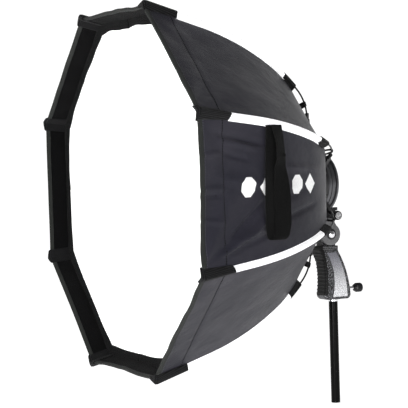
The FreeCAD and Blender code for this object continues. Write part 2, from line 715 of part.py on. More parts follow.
doc.recompute()
for obj in doc.Objects:
    if {"Invalid", "Error"} & set(obj.State):
        raise RuntimeError(f"{obj.Name} failed: {obj.State}")
labels = [obj.Label for obj in NODES]
if len(set(labels)) != len(labels):
    raise RuntimeError(f"two nodes have one name: {sorted(labels)}")
for obj in NODES:
    shape = obj.Shape
    if shape.isNull() or not shape.isValid() or not shape.Solids:
        raise RuntimeError(f"{obj.Label} has no sound solid")
    if any(solid.Volume <= 0 for solid in shape.Solids):
        raise RuntimeError(f"{obj.Label} holds an empty solid")

os.makedirs("parts", exist_ok=True)
for obj in NODES:
    obj.Shape.exportStep(f"parts/{obj.Label}.step")
print(len(NODES), "nodes written")
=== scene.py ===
import math
from functools import partial

import bmesh
import bpy
import numpy as np
from mathutils import Matrix, Vector, noise


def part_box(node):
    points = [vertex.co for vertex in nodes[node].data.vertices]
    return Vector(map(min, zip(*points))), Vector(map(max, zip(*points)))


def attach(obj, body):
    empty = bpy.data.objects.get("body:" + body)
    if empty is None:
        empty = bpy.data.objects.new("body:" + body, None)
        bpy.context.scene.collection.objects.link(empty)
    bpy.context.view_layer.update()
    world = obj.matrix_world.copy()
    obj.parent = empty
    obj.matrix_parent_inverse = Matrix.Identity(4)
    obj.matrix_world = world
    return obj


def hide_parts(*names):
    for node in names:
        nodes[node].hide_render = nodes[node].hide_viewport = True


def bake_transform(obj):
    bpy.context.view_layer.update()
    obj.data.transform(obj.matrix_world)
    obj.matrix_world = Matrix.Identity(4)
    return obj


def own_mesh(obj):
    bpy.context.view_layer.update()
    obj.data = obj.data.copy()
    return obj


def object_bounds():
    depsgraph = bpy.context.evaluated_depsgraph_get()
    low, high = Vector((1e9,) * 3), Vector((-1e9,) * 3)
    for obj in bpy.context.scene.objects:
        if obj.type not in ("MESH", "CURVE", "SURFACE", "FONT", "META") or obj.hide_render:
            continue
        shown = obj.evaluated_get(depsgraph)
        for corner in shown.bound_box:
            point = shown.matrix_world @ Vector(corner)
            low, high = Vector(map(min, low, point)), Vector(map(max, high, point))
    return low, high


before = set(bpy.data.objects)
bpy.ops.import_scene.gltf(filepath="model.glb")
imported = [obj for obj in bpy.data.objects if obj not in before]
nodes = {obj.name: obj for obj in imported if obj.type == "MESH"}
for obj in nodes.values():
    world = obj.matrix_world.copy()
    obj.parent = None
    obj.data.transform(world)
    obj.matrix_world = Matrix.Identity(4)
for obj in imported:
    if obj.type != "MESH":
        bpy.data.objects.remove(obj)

cad_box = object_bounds()
scene = bpy.context.scene

# ---------------- the view
# The softbox is seen from its left side, level with its axis and through a long lens, so that
# its near panel, its white front and its bracket all show.

ring_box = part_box("speedring")
axis_height = (ring_box[0].z + ring_box[1].z) / 2
rim_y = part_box("gore_2")[0].y

camera_data = bpy.data.cameras.new("studio_camera")
camera_data.lens = 134.06
camera_data.sensor_width = 36
camera = bpy.data.objects.new("studio_camera", camera_data)
scene.collection.objects.link(camera)
scene.camera = camera

view_azimuth = math.radians(62.006)
view_elevation = math.radians(2.095)
view_roll = math.radians(-1.715)
view_distance = 2.226
view_target = Vector((0.3022, rim_y, axis_height - 0.014))
behind = Vector((
    math.sin(view_azimuth) * math.cos(view_elevation),
    -math.cos(view_azimuth) * math.cos(view_elevation),
    math.sin(view_elevation),
))
level = (-behind).cross(Vector((0, 0, 1))).normalized()
upright = level.cross(-behind)
across = level * math.cos(view_roll) + upright * math.sin(view_roll)
upward = upright * math.cos(view_roll) - level * math.sin(view_roll)
stance = Matrix((across, upward, behind)).transposed().to_4x4()
stance.translation = view_target + behind * view_distance
camera.matrix_world = stance

# ---------------- the studio
# A pale floor and a white room that is bright beyond the softbox, and dim overhead and behind
# the camera so that the black cloth stays deep. Two soft lights, low at the side and in front,
# rake its folds.


class Signal:
    """A shader socket that Python arithmetic can be done on."""

    def __init__(self, finish, socket):
        self.finish = finish
        self.socket = socket

    def maths(self, operation, *values):
        return self.finish.add("ShaderNodeMath", {"operation": operation}, dict(enumerate(values)))

    def __add__(self, other):
        return self.maths("ADD", self, other)

    def __sub__(self, other):
        return self.maths("SUBTRACT", self, other)

    def __rsub__(self, other):
        return self.maths("SUBTRACT", other, self)

    def __mul__(self, other):
        return self.maths("MULTIPLY", self, other)

    __radd__ = __add__
    __rmul__ = __mul__

    def size(self):
        return self.maths("ABSOLUTE", self)

    def wave(self):
        """From 0 to 1 and back for each whole number that the signal passes."""
        return self.maths("SINE", self * (2 * math.pi)) * 0.5 + 0.5

    def ramp(self, low, high):
        """0 below low, 1 above high and smooth between."""
        return self.finish.add(
            "ShaderNodeMapRange", {"interpolation_type": "SMOOTHSTEP"},
            {"Value": self, "From Min": low, "From Max": high},
        )


class Finish:
    """The node tree of one surface finish."""

    def __init__(self, name, **constants):
        self.material = bpy.data.materials.new(name)
        self.material.use_nodes = True
        self.tree = self.material.node_tree
        self.shader = self.tree.nodes["Principled BSDF"]
        for socket, value in constants.items():
            self.plug(self.shader.inputs[socket.replace("_", " ")], value)

    def plug(self, socket, value):
        if isinstance(value, Signal):
            self.tree.links.new(value.socket, socket)
        elif socket.type == "RGBA" and len(value) == 3:
            socket.default_value = (*value, 1)
        else:
            socket.default_value = value

    def add(self, kind, settings=None, inputs=None, output=0):
        """Adds any node, with its settings first and then its sockets' values or links."""
        node = self.tree.nodes.new(kind)
        for name, value in (settings or {}).items():
            setattr(node, name, value)
        for name, value in (inputs or {}).items():
            self.plug(node.inputs[name], value)
        return Signal(self, node.outputs[output])

    def place(self):
        return self.add("ShaderNodeTexCoord", output=3)

    def cloth(self):
        """The cloth's own map, in metres."""
        return self.add("ShaderNodeTexCoord", output=2)

    def parts(self, vector):
        """The three numbers of a vector."""
        split = self.tree.nodes.new("ShaderNodeSeparateXYZ")
        self.plug(split.inputs[0], vector)
        return [Signal(self, socket) for socket in split.outputs]

    def stretched(self, vector, x=1.0, y=1.0, z=1.0):
        return self.add("ShaderNodeMapping", None, {"Vector": vector, "Scale": (x, y, z)})

    def cloud(self, where, scale, detail=3.0):
        return self.add("ShaderNodeTexNoise", None, {"Vector": where, "Scale": scale, "Detail": detail})

    def cells(self, where, scale):
        return self.add("ShaderNodeTexVoronoi", None, {"Vector": where, "Scale": scale})

    def mix(self, share, low, high):
        return self.add("ShaderNodeMix", {"data_type": "RGBA"}, {0: share, 6: low, 7: high}, output=2)

    def coat(self, colour=None, roughness=None, height=None, bump=0.3, deep=0.001):
        """Gives the shader what varies over the surface."""
        if colour is not None:
            self.plug(self.shader.inputs["Base Color"], colour)
        if roughness is not None:
            self.plug(self.shader.inputs["Roughness"], roughness)
        if height is not None:
            raised = self.add(
                "ShaderNodeBump", None, {"Strength": bump, "Distance": deep, "Height": height}
            )
            self.plug(self.shader.inputs["Normal"], raised)
        return self


def studio_light(name, place, aim, width, height, power):
    light = bpy.data.lights.new(name, "AREA")
    light.shape = "RECTANGLE"
    light.size = width
    light.size_y = height
    light.energy = power
    lamp = bpy.data.objects.new(name, light)
    scene.collection.objects.link(lamp)
    lamp.location = place
    lamp.rotation_euler = (Vector(aim) - Vector(place)).to_track_quat("-Z", "Y").to_euler()


studio_light("side_light", (2.7, -0.3, 0.1), (0, -0.2, 0.35), 0.9, 0.9, 30)
studio_light("low_light", (1.9, -2.1, 0.3), (0.15, -0.25, 0.35), 0.8, 0.8, 75)

room = bpy.data.worlds.new("white_room")
scene.world = room
room.use_nodes = True
air = room.node_tree
facing = air.nodes.new("ShaderNodeTexCoord")
towards = air.nodes.new("ShaderNodeVectorMath")
towards.operation = "DOT_PRODUCT"
towards.inputs[1].default_value = (-0.86, 0.5, -0.9)
brightness = air.nodes.new("ShaderNodeMapRange")
air.links.new(facing.outputs["Generated"], towards.inputs[0])
air.links.new(towards.outputs["Value"], brightness.inputs["Value"])
for socket, value in (("From Min", -0.25), ("From Max", 0.7), ("To Min", 0.14), ("To Max", 1.1)):
    brightness.inputs[socket].default_value = value
air.links.new(brightness.outputs["Result"], air.nodes["Background"].inputs["Strength"])
air.nodes["Background"].inputs["Color"].default_value = (1, 1, 1, 1)
scene.view_settings.view_transform = "Standard"

bpy.ops.object.select_all(action="DESELECT")
bpy.ops.mesh.primitive_plane_add(size=14, location=(0, 0, cad_box[0].z - 0.001))
floor = bpy.context.object
floor.name = "studio_floor"
floor_paint = Finish("pale_floor", Roughness=0.9, Emission_Color=(1, 1, 1), Emission_Strength=0.85)
floor_paint.coat(floor_paint.mix(floor_paint.cloud(floor_paint.place(), 3), (0.9,) * 3, (0.92,) * 3))
floor.data.materials.append(floor_paint.material)

# ---------------- rib rods
# Eight 3 mm spring-steel rods, blackened, each bowed by the cloth and held in a moulded nylon
# arm that turns in the hub. Rod and arm are the CAD's own.

rib_front = 0.323
rib_runs = [(16.3, 0.1053, None), (16.3, 0.525, 26.3), (42.6, 0.1077, 34.0)]
ribs = range(1, 9)


def rib_azimuth(number):
    return math.radians(22.5 + 45 * (number - 1))


def wear(colour, worn, roughness, grain=400, name="moulded", bump=0.15, **constants):
    """A moulded or painted finish: fine grain, cloudy sheen and paler rubbed patches."""
    paint = Finish(name, **constants)
    spot = paint.place()
    fine = paint.cloud(spot, grain, 2)
    broad = paint.cloud(spot, 30, 3)
    paint.coat(
        paint.mix(broad.ramp(0.45, 0.75), colour, worn), broad * 0.15 + (roughness - 0.07),
        fine, bump, 0.0004,
    )
    return paint.material


def dress(node, material):
    """Puts a finish on a CAD part."""
    mesh = nodes[node].data
    mesh.materials.clear()
    mesh.materials.append(material)


blued_steel = wear((0.02, 0.02, 0.022), (0.05, 0.05, 0.055), 0.32, 900, "blued_steel", Metallic=0.8)
black_nylon = wear((0.012, 0.012, 0.013), (0.02, 0.02, 0.021), 0.42, 700, "moulded_nylon")
for number in ribs:
    dress(f"rib_rod_{number}", blued_steel)
    dress(f"rib_arm_{number}", black_nylon)

# ---------------- gores
# Eight tapered gores of black coated nylon make the canopy, sewn to each other along the ribs.
# The front 46 mm is a stitched hem, and the inside is silver to throw the light forward.

half_step = math.radians(22.5)
gore_spread = math.tan(half_step)
gore_front = 0.2942
gore_runs = [(15.2, 0.1054, None), (15.2, 0.558, 17.0), (32.2, 0.2195, 44.7)]
gore_wall = 0.0009
hem_along = 0.0477


def run_length(run):
    return run[1] if run[2] is None else run[1] * math.radians(run[2])


def bowed_line(front, runs, along):
    """Depth behind the rim, distance from the axis and slope, some way along a bowed line."""
    deep, reach = 0.0, front
    for run in runs:
        slope = math.radians(run[0])
        here = min(along, run_length(run))
        if run[2] is None:
            deep += here * math.cos(slope)
            reach -= here * math.sin(slope)
        else:
            after = slope + here / run[1]
            deep += run[1] * (math.sin(after) - math.sin(slope))
            reach -= run[1] * (math.cos(slope) - math.cos(after))
            slope = after
        along -= here
        if along <= 1e-9:
            break
    return deep, reach, slope


gore_line = partial(bowed_line, gore_front, gore_runs)
rib_line = partial(bowed_line, rib_front, rib_runs)


def softbox_point(azimuth, deep, reach, aside=0.0):
    """A place from its depth behind the rim, its reach from the axis, and how far aside it is."""
    return Vector((
        reach * math.sin(azimuth) + aside * math.cos(azimuth),
        rim_y + deep,
        axis_height + reach * math.cos(azimuth) - aside * math.sin(azimuth),
    ))


def started(name, primitive, **settings):
    """A new piece, the only one selected, made by one of Blender's primitives."""
    bpy.ops.object.select_all(action="DESELECT")
    primitive(**settings)
    piece = bpy.context.object
    piece.name = piece.data.name = name
    return piece


def lay_cloth(name, columns, rows, surface, material, wall=None, offset=-1, flipped=False):
    """A grid laid on a surface, which gives the place and the cloth measure of each share."""
    piece = started(
        name, bpy.ops.mesh.primitive_grid_add, x_subdivisions=columns, y_subdivisions=rows, size=2
    )
    measures = []
    for point in piece.data.vertices:
        point.co, measure = surface((point.co.x + 1) / 2, (point.co.y + 1) / 2)
        measures.append(measure)
    cloth_map = piece.data.uv_layers.active.data
    for corner in piece.data.loops:
        cloth_map[corner.index].uv = measures[corner.vertex_index]
    bpy.ops.object.shade_smooth()
    if flipped:
        piece.data.flip_normals()
    piece.data.materials.append(material)
    if wall is not None:
        thicken(piece, wall, offset)
    return piece


def thicken(piece, wall, offset=-1, lining=0):
    """Gives the piece that was laid last its wall."""
    solid = piece.modifiers.new("cloth_wall", "SOLIDIFY")
    solid.thickness = wall
    solid.offset = offset
    solid.material_offset = lining
    bpy.ops.object.modifier_apply(modifier=solid.name)


gore_length = sum(run_length(run) for run in gore_runs)
gore_samples = [gore_line(gore_length * k / 200) for k in range(201)]


def gore_reach(deep):
    """The cloth's distance from the axis at a gore's middle, at some depth."""
    return float(np.interp(deep, [s[0] for s in gore_samples], [s[1] for s in gore_samples]))


# Slack of each gore and how strongly its folds run out of the corners at its two ribs.
gore_slack = {1: 0.8, 2: 1.0, 3: 0.55, 4: 0.8, 5: 0.8, 6: 0.8, 7: 0.8, 8: 0.8}
corner_folds = {1: (0.5, 1.1), 2: (0.5, 1.7), 3: (0.25, 0.3)}


def corner_fan(number, side, aside, along, half_width):
    """Folds that fan out of one front corner."""
    strength = corner_folds.get(number, (0.5, 0.7))[side > 0]
    from_side = half_width - (aside if side > 0 else -aside)
    away = math.hypot(from_side, along - 0.02)
    turn = math.atan2(from_side, max(along, 0) + 0.01)
    ridge = math.sin(turn * 9.5 + number * 2.1 + side)
    return strength * ridge * math.exp(-away / 0.1) * min(1, away / 0.03) * 0.0024


# Single creases of the near gore: where each starts and ends, aside and along, in metres, with
# its half width and its height. A negative height is a valley.
near_creases = [
    (-0.088, 0.045, -0.074, 0.125, 0.0052, -0.00884), (-0.078, 0.052, -0.066, 0.118, 0.004, 0.00572),
    (-0.06, 0.05, -0.05, 0.092, 0.0032, -0.00364), (0.098, 0.03, 0.042, 0.15, 0.0048, 0.00884),
    (0.088, 0.042, 0.03, 0.12, 0.0036, -0.00676), (0.1, 0.018, 0.07, 0.14, 0.0032, -0.00572),
    (0.076, 0.05, 0.056, 0.16, 0.004, 0.00572), (0.104, 0.012, 0.084, 0.06, 0.0032, 0.00572),
    (-0.02, 0.06, -0.006, 0.17, 0.008, 0.00312), (0.02, 0.15, 0.004, 0.245, 0.0064, -0.00364),
    (-0.036, 0.19, -0.03, 0.29, 0.0048, 0.00364), (0.046, 0.19, 0.03, 0.27, 0.004, -0.00416),
    (-0.006, 0.005, -0.006, 0.044, 0.0028, 0.00312), (0.04, 0.004, 0.044, 0.044, 0.0028, 0.00286),
    (-0.056, 0.005, -0.06, 0.044, 0.0028, 0.00312), (0.004, 0.004, 0.002, 0.044, 0.0016, -0.00208),
]


def creased(aside, along):
    """How far the near gore's single creases lift the cloth."""
    lift = 0.0
    for x0, y0, x1, y1, wide, tall in near_creases:
        run_x, run_y = x1 - x0, y1 - y0
        share = ((aside - x0) * run_x + (along - y0) * run_y) / (run_x ** 2 + run_y ** 2)
        if -0.3 < share < 1.3:
            off = ((aside - x0) * run_y - (along - y0) * run_x) / math.hypot(run_x, run_y)
            fade = math.sin(math.pi * (share + 0.3) / 1.6)
            lift += tall * fade * math.exp(-((off / wide) ** 2))
    return lift


def gore_stand(number, aside, along, half_width):
    """How far the cloth stands off its straight lay between two ribs."""
    free = 1 - (aside / half_width) ** 2
    slack = -0.0032 * math.sin(math.pi * min(1.0, along / gore_length * 1.15))
    drift = noise.noise(Vector((aside * 10, along * 8, number * 3.7))) * 0.0022
    fans = corner_fan(number, -1, aside, along, half_width)
    fans += corner_fan(number, 1, aside, along, half_width)
    seam = -0.0009 * math.exp(-(((along - hem_along) / 0.003) ** 2))
    hem_share = max(0.0, 1 - along / 0.06)
    hem = noise.noise(Vector((aside * 30, along * 12, number * 5.1 + 9))) * 0.0022 * hem_share
    edge_bow = 0.002 * math.sin(aside / half_width * 2.2 + number) * hem_share
    if number == 2:
        fans += creased(aside, along)
    return free * (gore_slack[number] * (slack + drift) + fans + seam + hem + edge_bow)


def gore_place(number, aside_share, along, lift=0.0):
    """A point on a gore, from -1 to 1 across it, standing off the cloth by lift."""
    deep, reach, slope = gore_line(along)
    half_width = reach * gore_spread
    out = lift + gore_stand(number, aside_share * half_width, along, half_width)
    reach += out * math.cos(slope)
    aside = aside_share * reach * gore_spread
    place = softbox_point(rib_azimuth(number) + half_step, deep + out * math.sin(slope), reach, aside)
    return place, (aside, along)


def follow_fold(piece, number):
    """Bakes the piece's place into its mesh; two points across its gore are worked out but not used."""
    deep, reach, _ = gore_line(0.2)
    middle = rib_azimuth(number) + half_step
    softbox_point(middle, deep, reach, -0.085)
    softbox_point(middle, deep, reach, 0.085)
    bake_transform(piece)


nylon = Finish("black_canopy_nylon", Sheen_Weight=0.03, Sheen_Roughness=0.4, Specular_IOR_Level=0.1)
cloth_at = nylon.cloth()
cloth_x, cloth_y, _ = nylon.parts(cloth_at)
crumple = nylon.cloud(nylon.stretched(cloth_at, 1, 0.6), 30, 5)
patches = nylon.cloud(cloth_at, 8, 3)
weave = (cloth_x * 1500).wave() * 0.5 + (cloth_y * 1500).wave() * 0.5
seam_line = (cloth_y - hem_along).size().ramp(0.0004, 0.0016)
nylon.coat(
    nylon.mix(
        seam_line, (0.016, 0.016, 0.02),
        nylon.mix(patches.ramp(0.3, 0.7), (0.013, 0.0128, 0.019), (0.022, 0.0208, 0.028)),
    ),
    crumple * 0.2 + 0.3, crumple + weave * 0.04, 0.8, 0.003,
)
silver = Finish("silver_lining", Metallic=0.5)
silver_at = silver.cloth()
glitter = silver.cells(silver_at, 900)
silver.coat(
    silver.mix(silver.cloud(silver_at, 40), (0.6, 0.6, 0.61), (0.82, 0.82, 0.83)),
    glitter * 0.3 + 0.3, glitter, 0.3, 0.0005,
)

for number in ribs:
    gore = lay_cloth(
        f"gore_cloth_{number}", 64, 116,
        lambda x, y, n=number: gore_place(n, 2 * x - 1, y * gore_length), nylon.material,
    )
    gore.data.materials.append(silver.material)
    thicken(gore, gore_wall, lining=1)
    follow_fold(gore, number)
    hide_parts(f"gore_{number}")

# ---------------- binding and lip tape
# Ribbed grey webbing is folded round the front edge and stitched through. Behind it, black
# loop tape lines the lip down to the diffuser.

lip_deep = 0.032
binding_wide = 0.0055
edge_seam_along = 0.0078

binding = Finish("grey_binding", Sheen_Weight=0.05, Sheen_Roughness=0.5, Specular_IOR_Level=0.08)
across_tape, along_tape, _ = binding.parts(binding.cloth())
ribbing = (across_tape * 700).wave()
rows = (along_tape * 900).wave()
binding.coat(
    binding.mix(ribbing, (0.008, 0.009, 0.008), (0.026, 0.028, 0.026)),
    binding.cloud(binding.place(), 60) * 0.2 + 0.6, ribbing + rows * 0.6, 0.8, 0.0006,
)
loop_tape = Finish("black_loop_tape", Roughness=0.95, Sheen_Weight=0.03, Specular_IOR_Level=0.03)
fuzz = loop_tape.cloud(loop_tape.place(), 1400, 4)
loop_tape.coat(
    loop_tape.mix(fuzz.ramp(0.3, 0.8), (0.001,) * 3, (0.005, 0.005, 0.0055)),
    height=fuzz, bump=0.9, deep=0.0012,
)


def binding_place(number, x, y):
    """Across the gore with x, and from the outside round the front edge to the inside with y."""
    flat, nose, skin = binding_wide, 0.0016, 0.0005
    wrap = math.pi * nose
    run = y * (2 * flat + wrap)
    if run < flat:
        along, lift = flat - run, skin
    elif run < flat + wrap:
        turn = (run - flat) / nose
        along, lift = -nose * 0.8 * math.sin(turn), skin - nose * (1 - math.cos(turn))
    else:
        along, lift = run - flat - wrap, skin - 2 * nose
    place, measure = gore_place(number, 2 * x - 1, max(along, 0.0), lift)
    place.y += min(along, 0.0)
    return place, (measure[0], run)


def lip_place(number, x, y):
    ragged = 0.001 * math.sin(x * 9 + number) + 0.0005 * math.sin(x * 23 + 2 * number)
    along = 0.004 + y * (lip_deep / math.cos(math.radians(15.2)) + 0.0005 + ragged)
    return gore_place(number, 2 * x - 1, along, -gore_wall - 0.0003)


def sew(name, stitches, thread, length=0.0022, thick=0.0005):
    """Rows of single stitches, each a small faceted bead laid along its seam."""
    row = started(name, bpy.ops.mesh.primitive_ico_sphere_add, subdivisions=1, radius=0.5)
    bead = row.data.copy()
    joined = bmesh.new()
    for place, along, up in stitches:
        side = along.cross(up).normalized()
        turned = Matrix((along * length, side * thick, up * thick)).transposed().to_4x4()
        turned.translation = place
        before = len(joined.verts)
        joined.from_mesh(bead)
        joined.verts.ensure_lookup_table()
        bmesh.ops.transform(joined, matrix=turned, verts=joined.verts[before:])
    bmesh.ops.recalc_face_normals(joined, faces=joined.faces)
    joined.to_mesh(row.data)
    joined.free()
    bpy.data.meshes.remove(bead)
    row.data.materials.append(thread)
    return row


def seam_stitches(number, along, pitch=0.0019):
    """Stitches across a gore at one distance from its front edge."""
    wide = 2 * gore_line(along)[1] * gore_spread
    count = int(wide / pitch)
    out = softbox_point(rib_azimuth(number) + half_step, 0, 1) - softbox_point(0, 0, 0)
    for k in range(4, count - 3, 2):
        here = gore_place(number, (2 * k + 1) / count - 1, along, 0.0001)[0]
        ahead = gore_place(number, (2 * k + 2) / count - 1, along, 0.0001)[0]
        yield here, (ahead - here).normalized(), out.normalized()


black_thread = wear(
    (0.001,) * 3, (0.003,) * 3, 0.8, 900, "black_thread", Specular_IOR_Level=0.02
)
grey_thread = wear((0.09, 0.09, 0.1), (0.13, 0.13, 0.14), 0.6, 900, "grey_thread")

gore_area = sum(
    2 * sample[1] * gore_spread * gore_length / len(gore_samples) for sample in gore_samples
)
for number in ribs:
    front_binding = lay_cloth(
        f"front_binding_{number}", 60, 22, partial(binding_place, number),
        binding.material, wall=0.0005,
    )
    lip = lay_cloth(
        f"lip_tape_{number}", 64, 8, partial(lip_place, number),
        loop_tape.material, wall=0.001,
    )
    hem_seam = sew(
        f"hem_stitches_{number}", seam_stitches(number, hem_along), black_thread,
        length=0.0028, thick=0.0018,
    )
    edge_seam = sew(
        f"edge_stitches_{number}", seam_stitches(number, edge_seam_along), grey_thread,
        length=0.0016, thick=0.0008,
    )
    for trim in (front_binding, lip, hem_seam, edge_seam):
        follow_fold(trim, number)

# ---------------- sleeves and pockets
# White webbing is folded over each rod and stitched down beside the seam. Black webbing
# pockets take the rod's two ends: the front one wraps round the rim to the inside of the lip.

rim_pocket_end, sleeve_end, hub_pocket_end = 0.059, 0.280, 0.303
pocket_half, pocket_taper, pocket_rise = 0.0115, 0.0045, 0.0042
flange_rise = 0.0009
rib_total = sum(run_length(run) for run in rib_runs)
rib_samples = [rib_line(rib_total * k / 300) for k in range(301)]


def rib_along(deep):
    """How far along the rod a depth behind the rim is."""
    return rib_total * float(np.interp(deep, [s[0] for s in rib_samples], range(301))) / 300


def rib_cloth_drop(deep, reach, slope):
    """How far below the rod's centre the cloth's corner lies."""
    return (reach - gore_reach(deep) / math.cos(half_step)) * math.cos(slope)


def over_rib(number, along, aside, rise):
    """A point beside the rod, standing off the cloth by rise."""
    deep, reach, slope = rib_line(along)
    up = rise - rib_cloth_drop(deep, reach, slope) - abs(aside) * gore_spread * math.cos(slope)
    return softbox_point(
        rib_azimuth(number), deep + up * math.sin(slope), reach + up * math.cos(slope), aside
    )


def tunnel_place(number, x, y, span, dome, left, right, top):
    """Webbing over the rod: a dome between two flanges that lie on the cloth."""
    start, end = span
    aside = -left + x * (left + right)
    along = start + y * (end - start)
    deep, reach, slope = rib_line(along)
    crown = rib_cloth_drop(deep, reach, slope) + top
    share = min(1.0, abs(aside) / dome)
    cover = math.sqrt(max(0.0, 1 - share ** 2.4))
    rise = flange_rise + (crown - flange_rise) * cover + abs(aside) * gore_spread * cover
    return over_rib(number, along, aside, rise), (aside, along)


# The white webbing glows of itself: painted light that keeps the sleeves bright white.
white_webbing = Finish(
    "white_webbing", Sheen_Weight=0.2, Sheen_Roughness=0.5, Specular_IOR_Level=0.3,
    Emission_Color=(1, 1, 1), Emission_Strength=0.35,
)
white_at = white_webbing.cloth()
white_x, white_y, _ = white_webbing.parts(white_at)
twill = (white_x * 900 + white_y * 1200).wave()
grime = white_webbing.cloud(white_at, 20)
white_webbing.coat(
    white_webbing.mix(grime.ramp(0.35, 0.75), (0.86, 0.86, 0.88), (0.8, 0.8, 0.83)),
    twill * 0.1 + 0.55, twill, 0.35, 0.0003,
)
black_webbing = Finish("black_webbing", Sheen_Weight=0.04, Sheen_Roughness=0.5, Specular_IOR_Level=0.06)
black_at = black_webbing.cloth()
black_x, black_y, _ = black_webbing.parts(black_at)
basket = (black_x * 550).wave() * (black_y * 550).wave()
black_webbing.coat(
    black_webbing.mix(basket, (0.002,) * 3, (0.018, 0.018, 0.02)),
    black_webbing.cloud(black_at, 60) * 0.2 + 0.6, basket, 0.9, 0.0009,
)


def pocket_place(number, x, y):
    """The front pocket: up the inside of the lip, round the rim and back over the rod's end."""
    inside, nose = 0.034, 0.0075
    run = y * (inside + nose + rib_along(rim_pocket_end))
    side = 2 * x - 1
    if run < inside + nose:
        deep = max(0.0, inside - run)
        wide = pocket_half
        low = gore_reach(deep) / math.cos(half_step) - pocket_rise
        high = rib_front + pocket_rise
        turn = max(0.0, run - inside) / nose
        reach = low + (high - low) * (1 - math.cos(math.pi * turn)) / 2
        deep -= 0.0052 * math.sin(math.pi * turn)
        level_drop = abs(side * wide) * gore_spread
        tent = (high - low - 0.004) * turn * (1 - math.cos(math.pi * side / 2)) * 0.9
        place = softbox_point(rib_azimuth(number), deep, reach - level_drop - tent, side * wide)
        return place, (side * wide, run)
    along = run - inside - nose
    share = along / rib_along(rim_pocket_end)
    wide = pocket_half - pocket_taper * share
    deep, reach, slope = rib_line(along)
    crown = rib_cloth_drop(deep, reach, slope) + pocket_rise
    drape = math.cos(math.pi / 2 * side) ** 0.8 if abs(side) < 0.999 else 0.0
    rise = 0.0012 + (crown - 0.0012) * drape
    return over_rib(number, along, side * wide, rise), (side * wide, run)


def tunnel_stitches(number, start, end, aside, rise, pitch=0.003):
    count = int((end - start) / pitch)
    for k in range(count):
        here = over_rib(number, start + (k + 0.5) * pitch, aside, rise)
        ahead = over_rib(number, start + (k + 0.7) * pitch, aside, rise)
        out = softbox_point(rib_azimuth(number), 0, 1) - softbox_point(0, 0, 0)
        yield here, (ahead - here).normalized(), out.normalized()


white_thread = wear((0.5, 0.5, 0.52), (0.6, 0.6, 0.62), 0.6, 900, "white_thread")
sleeve_span = (rib_along(rim_pocket_end) + 0.0002, rib_along(sleeve_end))
hub_span = (rib_along(sleeve_end) - 0.003, rib_along(hub_pocket_end))
tie_reach, tie_half = 0.149, 0.004
tie_at = rib_total * float(np.interp(-tie_reach, [-s[1] for s in rib_samples], range(301))) / 300
tie_span = (tie_at - tie_half, tie_at + tie_half)
pocket_wall = 0.0011
for number in ribs:
    sleeve = lay_cloth(
        f"rib_sleeve_webbing_{number}", 24, 90,
        partial(tunnel_place, number, span=sleeve_span, dome=0.0044, left=0.0052, right=0.0078, top=0.0024),
        white_webbing.material, wall=0.0007,
    )
    rim_pocket = lay_cloth(
        f"rim_pocket_{number}", 26, 56, partial(pocket_place, number),
        black_webbing.material, wall=pocket_wall,
    )
    hub_pocket = lay_cloth(
        f"hub_pocket_{number}", 26, 16,
        partial(tunnel_place, number, span=hub_span, dome=0.0054, left=0.0072, right=0.0078, top=0.0036),
        black_webbing.material, wall=pocket_wall,
    )
    rod_tie = lay_cloth(
        f"rod_tie_{number}", 22, 6,
        partial(tunnel_place, number, span=tie_span, dome=0.0036, left=0.0052, right=0.0052, top=0.0026),
        black_webbing.material, wall=0.0009,
    )
    sleeve_seam = sew(
        f"sleeve_stitches_{number}", tunnel_stitches(number, *sleeve_span, 0.0061, 0.0012), white_thread
    )
    for trim in (sleeve, sleeve_seam):
        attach(trim, f"rib_{number}")
    for trim in (rim_pocket, hub_pocket, rod_tie):
        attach(trim, f"rib_{number}")
    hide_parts(f"rib_sleeve_{number}")

# ---------------- diffuser
# One octagon of white nylon, here in eight sectors so that it can fold with its ribs. A black
# tape round its edge presses on the lip's loop tape.

tape_wide = 0.012
edge_lap = 0.0024
diffuser_reach = 0.3045
sector_side = diffuser_reach * math.cos(half_step)


def sector_point(number, aside, reach):
    """A point of the diffuser's plane, seen from its rib's corner."""
    bulge = 0.0022 * math.cos(math.pi / 2 * min(1.0, math.hypot(aside, reach) / 0.29))
    return softbox_point(rib_azimuth(number), lip_deep + 0.0008 - bulge, reach, aside)


def sector_share(number, x, y):
    """A kite from the axis to the corner, with x and y as shares of its two sides."""
    side = Vector((sector_side * math.sin(half_step), sector_side * math.cos(half_step)))
    spot = x * (1 - y) * side + y * (1 - x) * Vector((-side.x, side.y))
    spot += x * y * Vector((0, diffuser_reach))
    return sector_point(number, *spot), tuple(spot)


def tape_place(number, x, y):
    """The edge tape, from one side's middle round the corner to the other's."""
    turn = (2 * x - 1) * half_step
    nearest = half_step if turn >= 0 else -half_step
    ragged = 0.0012 * math.sin(turn * 13 + number * 2) + 0.0006 * math.sin(turn * 29 + number)
    rounding = 0.004 * math.exp(-((turn / 0.1) ** 2))
    wide = tape_wide + rounding + ragged * (1.2 if number in (1, 7, 8) else 0.35)
    out = (sector_side + edge_lap - (wide + edge_lap) * y) / math.cos(turn - nearest)
    place = sector_point(number, out * math.sin(turn), out * math.cos(turn))
    return place + Vector((0, -0.0009 - 0.002 * (1 - y), 0)), (out * math.sin(turn), wide * y)
